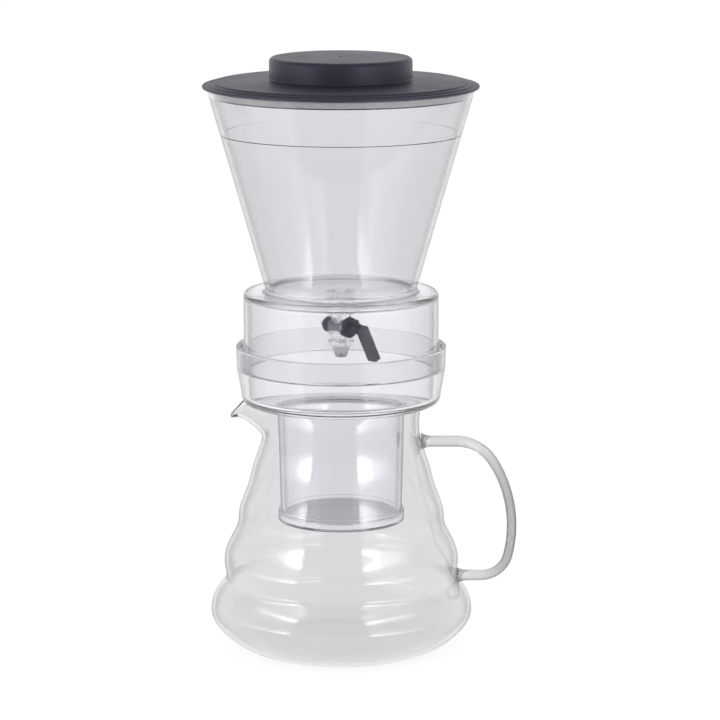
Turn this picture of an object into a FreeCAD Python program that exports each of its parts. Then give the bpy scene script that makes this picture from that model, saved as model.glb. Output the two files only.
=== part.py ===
import FreeCAD, Part
import math
import os

# Cold drip coffee tower: a blown glass jug, a clear dripper whose basket hangs in the jug,
# a clear conical water tank that stands on the dripper with a drip tap under its floor, and
# a moulded lid. Millimetres, +Z up. The origin is the middle of the jug's base, the spout
# points to -X and the handle to +X. Heights add up from the base: each piece takes its
# place from the one that it stands on.

vec = FreeCAD.Vector
UP = vec(0, 0, 1)

EDGE_ROUND = 0.5             # ordinary broken edge of a moulding
OVERCUT = 1.0                # how far a cutter or a joining face runs past its target

# ---------------------------------------------------------------- jug
GLASS = 1.8                  # wall of the jug
FLOOR_EXTRA = 0.4            # the floor is this much thicker than the wall
JUG_FOOT_R = 43.0            # flat that the jug stands on
BASE_RUN = 6.5               # how far the foot runs flat before it turns up
BELLY_R = 65.1
BELLY_Z = 20.0
BELLY_DROP = 9.3             # how far the belly runs plumb before it turns in
BELLY_RISE = 20.5            # belly to middle wave
MIDDLE_WAVE_R = 58.1
MIDDLE_PLUMB = 5.0           # plumb stretch of the middle wave
MIDDLE_RISE = 24.5           # middle wave to top wave
TOP_WAVE_R = 50.6
TOP_RISE = 18.0              # top wave to shoulder
SHOULDER_STEP = 5.6          # shoulder's radius over the neck's
SHOULDER_LEAN = 0.24         # inward lean of the wall at the shoulder, mm per mm
SHOULDER_RISE = 25.5         # shoulder to neck
NECK_R = 38.7
RIM_RISE = 10.5              # neck to rim
RIM_FLARE = 1.2              # rim's radius over the neck's

SHOULDER_R = NECK_R + SHOULDER_STEP
JUG_RIM_R = NECK_R + RIM_FLARE
MIDDLE_WAVE_LOW = BELLY_Z + BELLY_RISE
MIDDLE_WAVE_HIGH = MIDDLE_WAVE_LOW + MIDDLE_PLUMB
TOP_WAVE_Z = MIDDLE_WAVE_HIGH + MIDDLE_RISE
SHOULDER_Z = TOP_WAVE_Z + TOP_RISE
NECK_Z = SHOULDER_Z + SHOULDER_RISE
JUG_RIM_Z = NECK_Z + RIM_RISE

SPOUT_REACH = 15.0           # how far the lip stands out from the rim
SPOUT_ROOT = 9.5             # below the neck, where the wall starts to swell
SPOUT_DIP = 6.7              # the pouring edge is this far below the rim
SPOUT_SPREAD = 17.0          # half width of the spout, degrees
SPOUT_BACK = 7.0             # the lip's slope runs back this far while it climbs to the rim

HANDLE_R = 2.8               # glass rod
HANDLE_TOP = 20.3            # below the rim
HANDLE_BEND_X = 57.0         # where the rod leaves its level top run
HANDLE_TOP_BEND = 22.0       # radii of the three bends
HANDLE_GRIP_BEND = 62.0
HANDLE_LOW_BEND = 13.5
HANDLE_TOP_TURN = 58.0       # heading at the end of the top bend, degrees below level
HANDLE_GRIP_TURN = 104.0     # heading at the end of the grip, degrees below level
HANDLE_WELD = 1.6            # the hot rod spreads by this much where it was pressed on
HANDLE_WELD_LENGTH = 5.0

# ---------------------------------------------------------------- dripper
PUSH_GAP = 0.04              # push fit between plastic parts
CUP_RIM_R = 51.9
CUP_WALL = 2.2
CUP_FLOOR = 3.0
CUP_LEDGE = 17.4             # ledge above the underside; the tank's skirt stands on it
CUP_ABOVE_LEDGE = 11.2
CUP_WAIST_IN = 0.4           # the wall is this much in from the rim at the ledge
CUP_FOOT_IN = 3.3            # and this much at the foot
CUP_FOOT_ROUND = 3.4
CUP_WAIST_ROUND = 6.0
CUP_RIM_ROUND = 0.7
SKIRT_ROOM = 1.6             # between the cup's wall and the tank's skirt
LEDGE_WIDTH = 2.7            # how far the ledge reaches in under the skirt
WELL_DRAFT = 0.6
WELL_ROUND = 2.5
BASKET_ROOM = 5.6            # between the basket and the jug's neck
BASKET_WALL = 2.0
BASKET_DEPTH = 55.6          # below the cup's underside
BASKET_DRAFT = 1.2           # the basket is this much slimmer at its end
BASKET_MOUTH_ROUND = 1.5
BASKET_ROOT_ROUND = 1.2

MESH_THICK = 0.3
RING_ABOVE = 1.8             # ring past the basket's end, upwards and downwards
RING_BELOW = 3.8
RING_WALL = 1.1
RING_LIP = 1.9               # how far the ring reaches in under the mesh
RING_LEAD = 1.0              # bevel at the ring's lower mouth

CUP_LEDGE_Z = JUG_RIM_Z + CUP_LEDGE
CUP_RIM_Z = CUP_LEDGE_Z + CUP_ABOVE_LEDGE
COLLAR_R = CUP_RIM_R - CUP_WALL - SKIRT_ROOM
CUP_WELL_R = COLLAR_R - LEDGE_WIDTH
BASKET_MOUTH_R = NECK_R - GLASS - BASKET_ROOM
BASKET_END_R = BASKET_MOUTH_R - BASKET_DRAFT
BASKET_END_Z = JUG_RIM_Z - BASKET_DEPTH

# ---------------------------------------------------------------- water tank
TANK_WALL = 2.0
SKIRT_HEIGHT = 38.2          # ledge to the top of the collar
CONE_HEIGHT = 100.4          # collar to rim
TANK_RIM_R = 65.8
TANK_FOOT_R = 36.9           # outside of the cone where it meets the collar
COLLAR_PLATE = 2.5
COLLAR_ROUND = 2.0
CONE_ROOT_ROUND = 1.6
SKIRT_ROOT_ROUND = 1.5
FLOOR_RAISE = 0.9            # tank's floor above the collar's top
FLOOR_ROUND = 3.0
LEVEL_BELOW_RIM = 22.0       # moulded fill line inside the wall
LEVEL_DEPTH = 0.35
LEVEL_HEIGHT = 0.8
FLOOR_HOLE_R = 2.2
BOSS_WALL = 2.35             # threaded boss under the floor
BOSS_DEPTH = 4.8
BOSS_ROOF = 1.9              # floor left above the thread
BOSS_ROOT_ROUND = 1.0

COLLAR_TOP_Z = CUP_LEDGE_Z + SKIRT_HEIGHT
TANK_RIM_Z = COLLAR_TOP_Z + CONE_HEIGHT
TANK_FLOOR_Z = COLLAR_TOP_Z + FLOOR_RAISE
BOSS_END_Z = COLLAR_TOP_Z - COLLAR_PLATE - BOSS_DEPTH

# ---------------------------------------------------------------- lid
LID_OVERHANG = 1.9           # past the tank's rim
LID_RIM_THICK = 1.5
LID_PLATEAU_IN = 5.9         # edges of the steps, in from the lid's rim
LID_STEP_IN = 3.1
LID_STEP = 0.75              # drop of each step
LID_DOME = 1.5               # rise from the plateau's edge to the knob
LID_PLATE = 2.0
KNOB_R = 35.0
KNOB_HEIGHT = 10.5
KNOB_ROUND = 2.2
KNOB_BORE_ROUND = 1.0
LID_RIM_ROUND = 0.65
LID_STEP_ROUND = 0.3
LID_PLUG_DEPTH = 3.8
LID_PLUG_WALL = 1.6
LID_PLUG_GAP = 0.35
GATE_R = 1.1                 # moulding mark in the middle of the knob
GATE_DEPTH = 0.35

LID_RIM_R = TANK_RIM_R + LID_OVERHANG

# ---------------------------------------------------------------- tap
TAP_TURN = -45.0             # heading of the lever's axle from +X, degrees
LEVER_REST = 22.0            # lever's turn from straight down
STEM_R = 4.2
THREAD_GAP = 0.05
STEM_GAP = 0.3               # left above the stem's end
WASHER_THICK = 1.5
WASHER_IN = 0.4              # the washer and shoulder are this much inside the boss
SHOULDER_HEIGHT = 2.0
TAP_DROP = 8.8               # shoulder's top face to the axle
COLUMN_R = 4.9               # upright part of the tap between its shoulder and bulb
PLUG_R = 3.5
PLUG_GAP = 0.05              # running clearance of the plug in the barrel
BARREL_WALL = 1.45
BARREL_BACK = -5.0           # ends of the barrel along the axle
BARREL_FRONT = 4.7
SPINDLE_R = 1.8
WAY_R = 1.25                 # water way through the plug
CHANNEL_R = 1.5              # water way through the tap
BULB_R = 6.4
BULB_DROP = 6.3              # axle to the bulb's top
BULB_HEIGHT = 3.4
BULB_ROUND = 0.9
BULB_SIDE_ROUND = 2.5
BULB_FOOT_ROUND = 1.2
BULB_FOOT_OUT = 0.4          # the bulb's foot stands this far round the tip
TIP_R = 4.9
TIP_END_R = 2.9
TIP_LENGTH = 5.4
TIP_FLATS = 8
TIP_SPIGOT_R = 2.8
TIP_SPIGOT = 3.0
TIP_BORE_R = 0.8
END_PLAY = 0.2               # side play of the plug in the barrel
FLANGE_R = 5.1
FLANGE_THICK = 2.1
EAR_REACH = 1.0              # past the flange
EAR_WIDTH = 2.2
CROSS_NECK_R = 2.7
CROSS_NECK = 4.6             # flange to arm
ARM_DEPTH = 5.8
ARM_WIDTH = 4.3
ARM_ABOVE = 1.6
ARM_BELOW = 16.9
ARM_SPLAY = 2.4              # outward lean of the arm's foot
ARM_CHAMFER = 0.55
CAP_R = 3.9
CAP_LENGTH = 7.8
CAP_NOSE_R = 0.9
CAP_RIM = 3.9
SPINDLE_IN_CAP = 2.7

BARREL_R = PLUG_R + PLUG_GAP + BARREL_WALL
BOSS_R = STEM_R + THREAD_GAP + BOSS_WALL
WASHER_R = BOSS_R - WASHER_IN
TAP_Z = BOSS_END_Z - WASHER_THICK - TAP_DROP
BULB_BOTTOM_Z = TAP_Z - BULB_DROP - BULB_HEIGHT
FLANGE_IN = BARREL_FRONT + END_PLAY
FLANGE_OUT = FLANGE_IN + FLANGE_THICK
ARM_START = FLANGE_OUT + CROSS_NECK
CAP_BASE = BARREL_BACK - END_PLAY


# ---------------------------------------------------------------- helpers
def unit(a, b):
    step = b - a
    return step * (1.0 / step.Length)


def corner_arc(before, corner, after, rounding):
    """Start, middle and end of the arc that rounds a corner."""
    come = unit(before, corner)
    leave = unit(corner, after)
    half_turn = come.getAngle(leave) / 2.0
    cut = rounding * math.tan(half_turn)
    inward = leave - come
    inward.normalize()
    centre = corner + inward * (rounding / math.cos(half_turn))
    return corner - come * cut, centre - inward * rounding, corner + leave * cut


def outline(corners):
    """Closed wire in the XZ plane. A corner is (r, z) or (r, z, rounding)."""
    points = [vec(c[0], 0, c[1]) for c in corners]
    arcs = []
    for i, corner in enumerate(corners):
        if len(corner) == 3:
            after = points[(i + 1) % len(points)]
            arcs.append(corner_arc(points[i - 1], points[i], after, corner[2]))
        else:
            arcs.append((points[i], None, points[i]))
    edges = []
    for i, (start, middle, end) in enumerate(arcs):
        last = arcs[i - 1][2]
        if (start - last).Length > 1e-6:
            edges.append(Part.makeLine(last, start))
        if middle is not None:
            edges.append(Part.Arc(start, middle, end).toShape())
    return Part.Wire(edges)


def turned(corners):
    return Part.Face(outline(corners)).revolve(vec(0, 0, 0), UP, 360)


def rod(radius, start, end):
    """Cylinder along the tap's own X axis."""
    return Part.makeCylinder(radius, end - start, vec(start, 0, 0), vec(1, 0, 0))


def upright(radius, low, high):
    return Part.makeCylinder(radius, high - low, vec(0, 0, low), UP)


def save(name, shape):
    shape.exportStep("parts/" + name + ".step")


# ---------------------------------------------------------------- jug
def bezier(*poles):
    curve = Part.BezierCurve()
    curve.setPoles([vec(r, 0, z) for r, z in poles])
    return curve


def wave(low_r, low_z, high_r, high_z):
    """S-shaped run of wall that is plumb at both ends."""
    middle = (low_z + high_z) / 2.0
    return bezier((low_r, low_z), (low_r, middle), (high_r, middle), (high_r, high_z))


def jug_curves():
    """Outer wall from the edge of the flat foot to the rim."""
    rise = SHOULDER_Z - TOP_WAVE_Z
    climb = NECK_Z - SHOULDER_Z
    lip = JUG_RIM_Z - NECK_Z
    lean = SHOULDER_LEAN * rise / 3.0
    return [
        bezier((JUG_FOOT_R, 0), (JUG_FOOT_R + BASE_RUN, 0),
               (BELLY_R, BELLY_Z - BELLY_DROP), (BELLY_R, BELLY_Z)),
        wave(BELLY_R, BELLY_Z, MIDDLE_WAVE_R, MIDDLE_WAVE_LOW),
        bezier((MIDDLE_WAVE_R, MIDDLE_WAVE_LOW), (MIDDLE_WAVE_R, MIDDLE_WAVE_HIGH)),
        wave(MIDDLE_WAVE_R, MIDDLE_WAVE_HIGH, TOP_WAVE_R, TOP_WAVE_Z),
        bezier((TOP_WAVE_R, TOP_WAVE_Z), (TOP_WAVE_R, TOP_WAVE_Z + rise / 2.0),
               (SHOULDER_R + lean, SHOULDER_Z - rise / 3.0), (SHOULDER_R, SHOULDER_Z)),
        bezier((SHOULDER_R, SHOULDER_Z), (SHOULDER_R - SHOULDER_LEAN * climb / 3.0,
               SHOULDER_Z + climb / 3.0), (NECK_R, NECK_Z - climb / 3.0), (NECK_R, NECK_Z)),
        bezier((NECK_R, NECK_Z), (NECK_R, NECK_Z + lip / 3.0), (JUG_RIM_R, JUG_RIM_Z)),
    ]


def wall_points(inset):
    """Points along the wall, moved inwards by inset at right angles to it."""
    points = []
    for curve in jug_curves():
        steps = 8
        for i in range(steps):
            at = curve.value(i / steps)
            along = curve.tangent(i / steps)[0]
            points.append(at + vec(-along.z, 0, along.x) * inset)
    points.append(vec(JUG_RIM_R - inset, 0, JUG_RIM_Z))
    return points


def radius_at(height, inset):
    points = wall_points(inset)
    for low, high in zip(points, points[1:]):
        if low.z <= height <= high.z:
            share = (height - low.z) / (high.z - low.z)
            return low.x + (high.x - low.x) * share
    return points[-1].x


def smooth_step(value, low, high):
    share = min(max((value - low) / (high - low), 0.0), 1.0)
    return share * share * (3.0 - 2.0 * share)


def neck_section(height, inset):
    """Closed curve round the neck, swollen towards -X where the spout is."""
    reach = SPOUT_REACH * smooth_step(height - inset, NECK_Z - SPOUT_ROOT, JUG_RIM_Z - SPOUT_DIP)
    radius = radius_at(min(height, JUG_RIM_Z), inset)
    points = []
    for degrees in range(0, 360, 6):
        away = (degrees - 180.0) / SPOUT_SPREAD
        swollen = radius + reach * math.exp(-away * away)
        angle = math.radians(degrees)
        points.append(vec(swollen * math.cos(angle), swollen * math.sin(angle), height))
    curve = Part.BSplineCurve()
    curve.interpolate(Points=points, PeriodicFlag=True)
    return Part.Wire(curve.toShape())


def neck_block(inset, top):
    root = NECK_Z - SPOUT_ROOT
    steps = 8
    heights = [root + (top - root) * i / steps for i in range(steps + 1)]
    return Part.makeLoft([neck_section(z, inset) for z in heights], True, False)


def wall_block(inset, floor, top):
    """Solid of revolution inside the wall, between two heights."""
    curve = Part.BSplineCurve()
    curve.interpolate(wall_points(inset))
    side = curve.toShape()
    low = side.Vertexes[0].Point
    high = side.Vertexes[-1].Point
    axis_low = vec(0, 0, low.z)
    axis_high = vec(0, 0, high.z)
    edges = [Part.makeLine(axis_low, low), side, Part.makeLine(high, axis_high),
             Part.makeLine(axis_high, axis_low)]
    block = Part.Face(Part.Wire(edges)).revolve(vec(0, 0, 0), UP, 360)
    return block.common(upright(BELLY_R + GLASS, floor, top))


def lip_cutter():
    """Everything above the sloping edge of the spout."""
    tip = -(JUG_RIM_R + SPOUT_REACH)
    far = 3.0 * SPOUT_BACK
    slope = SPOUT_DIP / SPOUT_BACK
    corners = [vec(tip + SPOUT_BACK, -far, JUG_RIM_Z),
               vec(tip - far, -far, JUG_RIM_Z - SPOUT_DIP - far * slope),
               vec(tip - far, -far, JUG_RIM_Z + far),
               vec(tip + SPOUT_BACK, -far, JUG_RIM_Z + far)]
    side = Part.Face(Part.makePolygon(corners + corners[:1]))
    return side.extrude(vec(0, 2 * far, 0))


def jug_outside():
    below = wall_block(0.0, 0.0, NECK_Z - SPOUT_ROOT)
    return below.fuse(neck_block(0.0, JUG_RIM_Z)).removeSplitter()


def make_jug():
    hollow = wall_block(GLASS, GLASS + FLOOR_EXTRA, NECK_Z - SPOUT_ROOT)
    hollow = hollow.fuse(neck_block(GLASS, JUG_RIM_Z + OVERCUT))
    return jug_outside().cut(hollow).cut(lip_cutter())


def bend(start, heading, turn, radius):
    """Arc that turns downwards from one heading to another; headings are below level."""
    middle = (heading + turn) / 2.0
    points = [start]
    for angle in (middle, turn):
        a = math.radians(heading)
        b = math.radians(angle)
        points.append(start + vec(radius * (math.sin(b) - math.sin(a)), 0,
                                  radius * (math.cos(b) - math.cos(a))))
    return Part.Arc(*points).toShape(), points[-1]


def make_handle():
    top = vec(NECK_R - GLASS, 0, JUG_RIM_Z - HANDLE_TOP)
    leave = vec(HANDLE_BEND_X, 0, top.z)
    upper, grip_start = bend(leave, 0.0, HANDLE_TOP_TURN, HANDLE_TOP_BEND)
    grip, low_start = bend(grip_start, HANDLE_TOP_TURN, HANDLE_GRIP_TURN, HANDLE_GRIP_BEND)
    lower, low_end = bend(low_start, HANDLE_GRIP_TURN, 180.0, HANDLE_LOW_BEND)
    foot = vec(MIDDLE_WAVE_R - GLASS, 0, low_end.z)
    path = Part.Wire([Part.makeLine(top, leave), upper, grip, lower, Part.makeLine(low_end, foot)])
    circle = Part.Wire(Part.makeCircle(HANDLE_R, top, vec(1, 0, 0)))
    handle = path.makePipeShell([circle], True, False)
    weld_r = HANDLE_R + HANDLE_WELD
    for z in (top.z, low_end.z):
        wall = radius_at(z, 0.0)
        inside = wall - 2.0 * GLASS
        flare = Part.makeCone(weld_r, HANDLE_R, HANDLE_WELD_LENGTH, vec(wall, 0, z), vec(1, 0, 0))
        root = Part.makeCylinder(weld_r, wall - inside, vec(inside, 0, z), vec(1, 0, 0))
        handle = handle.fuse(flare).fuse(root)
    return handle.removeSplitter().cut(wall_block(0.0, 0.0, JUG_RIM_Z))


# ---------------------------------------------------------------- dripper
def make_dripper():
    floor = JUG_RIM_Z + CUP_FLOOR
    return turned([
        (CUP_RIM_R, CUP_RIM_Z, CUP_RIM_ROUND),
        (CUP_RIM_R - CUP_WALL, CUP_RIM_Z, CUP_RIM_ROUND),
        (CUP_RIM_R - CUP_WALL, CUP_LEDGE_Z),
        (CUP_WELL_R, CUP_LEDGE_Z, EDGE_ROUND),
        (CUP_WELL_R - WELL_DRAFT, floor, WELL_ROUND),
        (BASKET_MOUTH_R - BASKET_WALL, floor, BASKET_MOUTH_ROUND),
        (BASKET_END_R - BASKET_WALL, BASKET_END_Z),
        (BASKET_END_R, BASKET_END_Z),
        (BASKET_MOUTH_R, JUG_RIM_Z, BASKET_ROOT_ROUND),
        (CUP_RIM_R - CUP_FOOT_IN, JUG_RIM_Z, CUP_FOOT_ROUND),
        (CUP_RIM_R - CUP_WAIST_IN, CUP_LEDGE_Z, CUP_WAIST_ROUND),
    ])


def make_mesh():
    return upright(BASKET_END_R - PUSH_GAP, BASKET_END_Z - MESH_THICK, BASKET_END_Z)


def make_filter_ring():
    top = BASKET_END_Z + RING_ABOVE
    bottom = BASKET_END_Z - RING_BELOW
    seat = BASKET_END_Z - MESH_THICK
    bore = BASKET_END_R + BASKET_DRAFT * RING_ABOVE / BASKET_DEPTH + PUSH_GAP
    mouth = BASKET_END_R - RING_LIP
    return turned([
        (mouth, bottom + RING_LEAD),
        (mouth + RING_LEAD, bottom),
        (bore + RING_WALL, bottom, EDGE_ROUND),
        (bore + RING_WALL, top, EDGE_ROUND),
        (bore, top),
        (bore, seat),
        (mouth, seat),
    ])


# ---------------------------------------------------------------- water tank
def tank_outer_r(height):
    slope = (TANK_RIM_R - TANK_FOOT_R) / (TANK_RIM_Z - COLLAR_TOP_Z)
    return TANK_FOOT_R + slope * (height - COLLAR_TOP_Z)


def tank_inner_r(height):
    lean = math.atan((TANK_RIM_R - TANK_FOOT_R) / (TANK_RIM_Z - COLLAR_TOP_Z))
    return tank_outer_r(height) - TANK_WALL / math.cos(lean)


def make_tank():
    plate_under = COLLAR_TOP_Z - COLLAR_PLATE
    boss_roof = TANK_FLOOR_Z - BOSS_ROOF
    level = TANK_RIM_Z - LEVEL_BELOW_RIM
    groove_top = level + LEVEL_HEIGHT / 2.0
    groove_low = level - LEVEL_HEIGHT / 2.0
    thread = STEM_R + THREAD_GAP
    return turned([
        (TANK_RIM_R, TANK_RIM_Z, EDGE_ROUND),
        (tank_inner_r(TANK_RIM_Z), TANK_RIM_Z, EDGE_ROUND),
        (tank_inner_r(groove_top), groove_top),
        (tank_inner_r(level) + LEVEL_DEPTH, level),
        (tank_inner_r(groove_low), groove_low),
        (tank_inner_r(TANK_FLOOR_Z), TANK_FLOOR_Z, FLOOR_ROUND),
        (FLOOR_HOLE_R, TANK_FLOOR_Z),
        (FLOOR_HOLE_R, boss_roof),
        (thread, boss_roof),
        (thread, BOSS_END_Z),
        (BOSS_R, BOSS_END_Z, EDGE_ROUND),
        (BOSS_R, plate_under, BOSS_ROOT_ROUND),
        (COLLAR_R - TANK_WALL, plate_under, SKIRT_ROOT_ROUND),
        (COLLAR_R - TANK_WALL, CUP_LEDGE_Z, EDGE_ROUND),
        (COLLAR_R, CUP_LEDGE_Z, EDGE_ROUND),
        (COLLAR_R, COLLAR_TOP_Z, COLLAR_ROUND),
        (TANK_FOOT_R, COLLAR_TOP_Z, CONE_ROOT_ROUND),
    ])


# ---------------------------------------------------------------- lid
def make_lid():
    rim_top = TANK_RIM_Z + LID_RIM_THICK
    step_top = rim_top + LID_STEP
    plateau = step_top + LID_STEP
    knob_base = plateau + LID_DOME
    knob_top = knob_base + KNOB_HEIGHT
    plateau_r = LID_RIM_R - LID_PLATEAU_IN
    step_r = LID_RIM_R - LID_STEP_IN
    plug_low = TANK_RIM_Z - LID_PLUG_DEPTH
    plug_r = tank_inner_r(plug_low) - LID_PLUG_GAP
    plug_top_r = tank_inner_r(TANK_RIM_Z) - LID_PLUG_GAP
    knob_bore = KNOB_R - LID_PLATE
    return turned([
        (0, knob_top - GATE_DEPTH),
        (GATE_R, knob_top - GATE_DEPTH),
        (GATE_R, knob_top),
        (KNOB_R, knob_top, KNOB_ROUND),
        (KNOB_R, knob_base, EDGE_ROUND),
        (plateau_r, plateau, LID_STEP_ROUND),
        (plateau_r + LID_STEP, step_top, LID_STEP_ROUND),
        (step_r, step_top, LID_STEP_ROUND),
        (step_r + LID_STEP, rim_top, LID_STEP_ROUND),
        (LID_RIM_R, rim_top, LID_RIM_ROUND),
        (LID_RIM_R, TANK_RIM_Z, LID_RIM_ROUND),
        (plug_top_r, TANK_RIM_Z),
        (plug_r, plug_low, EDGE_ROUND),
        (plug_r - LID_PLUG_WALL, plug_low, EDGE_ROUND),
        (plug_top_r - LID_PLUG_WALL, plateau - LID_PLATE, EDGE_ROUND),
        (knob_bore, knob_base - LID_PLATE, EDGE_ROUND),
        (knob_bore, knob_top - LID_PLATE, KNOB_BORE_ROUND),
        (0, knob_top - LID_PLATE),
    ])


# ---------------------------------------------------------------- tap
def place_tap(shape):
    """From the tap's own frame, axle along X through its origin, to the tower's frame."""
    shape.translate(vec(0, 0, TAP_Z))
    shape.rotate(vec(0, 0, TAP_Z), UP, TAP_TURN)
    return shape


def place_plug(shape):
    """As place_tap, and turned about the axle to where the lever rests."""
    shape.rotate(vec(0, 0, 0), vec(1, 0, 0), LEVER_REST)
    return place_tap(shape)


def make_washer():
    bottom = BOSS_END_Z - WASHER_THICK
    washer = upright(WASHER_R, bottom, BOSS_END_Z)
    return washer.cut(upright(STEM_R + THREAD_GAP, bottom, BOSS_END_Z))


def make_tap_body():
    stem_top = TANK_FLOOR_Z - BOSS_ROOF - STEM_GAP - TAP_Z
    bulb_low = -BULB_DROP - BULB_HEIGHT
    bulb = turned([
        (0, bulb_low),
        (TIP_R + BULB_FOOT_OUT, bulb_low, BULB_FOOT_ROUND),
        (BULB_R, bulb_low + BULB_HEIGHT / 2.0, BULB_SIDE_ROUND),
        (BULB_R, -BULB_DROP, BULB_ROUND),
        (0, -BULB_DROP),
    ])
    body = bulb.fuse(upright(COLUMN_R, bulb_low + OVERCUT, TAP_DROP))
    body = body.fuse(upright(WASHER_R, TAP_DROP - SHOULDER_HEIGHT, TAP_DROP))
    body = body.fuse(upright(STEM_R, TAP_DROP - OVERCUT, stem_top))
    body = body.fuse(rod(BARREL_R, BARREL_BACK, BARREL_FRONT))
    body = body.cut(rod(PLUG_R + PLUG_GAP, BARREL_BACK - OVERCUT, BARREL_FRONT + OVERCUT))
    body = body.cut(upright(CHANNEL_R, bulb_low - OVERCUT, stem_top + OVERCUT))
    body = body.cut(upright(TIP_SPIGOT_R + PUSH_GAP, bulb_low - OVERCUT, bulb_low + TIP_SPIGOT))
    return place_tap(body.removeSplitter())


def make_plug():
    back = BARREL_BACK + END_PLAY
    front = BARREL_FRONT - END_PLAY
    plug = rod(PLUG_R, back, front).cut(rod(SPINDLE_R + PUSH_GAP, back, front))
    return place_plug(plug.cut(upright(WAY_R, -BARREL_R, BARREL_R)))


def faceted(radius, height):
    """Regular outline of the drip tip at one height."""
    points = []
    for i in range(TIP_FLATS):
        angle = 2.0 * math.pi * (i + 0.5) / TIP_FLATS
        points.append(vec(radius * math.cos(angle), radius * math.sin(angle), height))
    return Part.makePolygon(points + points[:1])


def make_tip():
    end = BULB_BOTTOM_Z - TIP_LENGTH
    top = BULB_BOTTOM_Z + TIP_SPIGOT - PUSH_GAP
    tip = Part.makeLoft([faceted(TIP_R, BULB_BOTTOM_Z), faceted(TIP_END_R, end)], True, True)
    tip = tip.fuse(upright(TIP_SPIGOT_R, BULB_BOTTOM_Z - OVERCUT, top))
    tip = tip.cut(upright(CHANNEL_R, BULB_BOTTOM_Z - TIP_LENGTH / 2.0, top))
    return tip.cut(upright(TIP_BORE_R, end, BULB_BOTTOM_Z))


def arm_section(height):
    near = ARM_START + ARM_SPLAY * (ARM_ABOVE - height) / (ARM_ABOVE + ARM_BELOW)
    far = near + ARM_DEPTH
    half = ARM_WIDTH / 2.0
    corners = [vec(near, -half, height), vec(far, -half, height), vec(far, half, height),
               vec(near, half, height)]
    return Part.makePolygon(corners + corners[:1])


def make_arm():
    arm = Part.makeLoft([arm_section(-ARM_BELOW), arm_section(ARM_ABOVE)], True, True)
    return arm.makeChamfer(ARM_CHAMFER, arm.Edges)


def make_lever():
    reach = FLANGE_R + EAR_REACH
    ears = Part.makeBox(FLANGE_THICK, 2.0 * reach, EAR_WIDTH,
                        vec(FLANGE_IN, -reach, -EAR_WIDTH / 2.0))
    lever = rod(FLANGE_R, FLANGE_IN, FLANGE_OUT)
    lever = lever.fuse(ears.common(rod(reach, FLANGE_IN, FLANGE_OUT)))
    lever = lever.fuse(rod(CROSS_NECK_R, FLANGE_OUT - OVERCUT, ARM_START + OVERCUT))
    lever = lever.fuse(rod(SPINDLE_R, CAP_BASE - SPINDLE_IN_CAP, FLANGE_IN + OVERCUT))
    lever = lever.fuse(make_arm()).removeSplitter()
    return place_plug(lever.cut(upright(WAY_R, -PLUG_R, PLUG_R)))


def make_end_cap():
    nose = CAP_BASE - CAP_RIM
    rim = rod(CAP_R, nose, CAP_BASE)
    cone = Part.makeCone(CAP_R, CAP_NOSE_R, CAP_LENGTH - CAP_RIM, vec(nose, 0, 0), vec(-1, 0, 0))
    cap = rim.fuse(cone).removeSplitter()
    bore = rod(SPINDLE_R + PUSH_GAP, CAP_BASE - SPINDLE_IN_CAP - PUSH_GAP, CAP_BASE)
    return place_plug(cap.cut(bore))


# ---------------------------------------------------------------- build
PIECES = {
    "jug_body": make_jug,
    "jug_handle": make_handle,
    "dripper": make_dripper,
    "filter_mesh": make_mesh,
    "filter_ring": make_filter_ring,
    "water_tank": make_tank,
    "tap_washer": make_washer,
    "tap_body": make_tap_body,
    "tap_plug": make_plug,
    "tap_lever": make_lever,
    "tap_end_cap": make_end_cap,
    "drip_tip": make_tip,
    "lid": make_lid,
}

os.makedirs("parts", exist_ok=True)
for name, make in PIECES.items():
    solid = make()
    print(name, solid.ShapeType, "solids", len(solid.Solids), "valid", solid.isValid(),
          "volume", round(solid.Volume, 1), solid.BoundBox)
    save(name, solid)
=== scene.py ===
# %% [markdown]
# # A cold drip coffee tower, modelled and finished
#
# The tower is a stack of clear vessels. Cold water in the conical tank leaves through a small
# tap, drips on ground coffee in the dripper's basket, and runs into a glass jug.
# The engineering model is loaded first as a fixed frame, which says how large each piece is and
# what moves. Each vessel is then drawn again, finer, because clear material shows every facet
# of a rough mesh, on its surface and through it.

# %% Load the frame
import math
import bpy
import bmesh
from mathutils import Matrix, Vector


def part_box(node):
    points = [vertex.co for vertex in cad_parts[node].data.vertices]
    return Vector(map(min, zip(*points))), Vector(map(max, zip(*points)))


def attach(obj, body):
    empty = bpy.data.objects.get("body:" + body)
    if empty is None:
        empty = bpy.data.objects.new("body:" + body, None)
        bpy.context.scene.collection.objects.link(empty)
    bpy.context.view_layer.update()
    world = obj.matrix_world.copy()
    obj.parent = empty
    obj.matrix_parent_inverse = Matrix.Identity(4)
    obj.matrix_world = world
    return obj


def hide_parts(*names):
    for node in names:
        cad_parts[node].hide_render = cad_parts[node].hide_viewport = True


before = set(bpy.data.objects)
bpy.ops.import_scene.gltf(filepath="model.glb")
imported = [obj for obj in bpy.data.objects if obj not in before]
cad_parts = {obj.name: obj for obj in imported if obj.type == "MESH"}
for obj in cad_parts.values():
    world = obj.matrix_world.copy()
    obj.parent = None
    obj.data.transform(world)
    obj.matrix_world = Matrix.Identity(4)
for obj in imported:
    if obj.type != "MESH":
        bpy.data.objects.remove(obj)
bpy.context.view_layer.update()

# %% [markdown]
# ## Units and small helpers
#
# Blender counts in metres and a moulding is drawn in millimetres, so one helper turns the one
# into the other. Operators act on whatever is selected, so each piece starts by deselecting
# everything, and corners are then picked in code by their place.

# %% Helpers for selecting
MM = 0.001
SLIVER = 1e-6


def millimetres(node):
    """Lowest and highest corner of a frame node, in millimetres."""
    low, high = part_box(node)
    return low / MM, high / MM


def deselect_all():
    bpy.ops.object.select_all(action="DESELECT")


def named(name):
    """Names the object that was just made."""
    piece = bpy.context.object
    piece.name = name
    piece.data.name = name
    return piece


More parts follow.
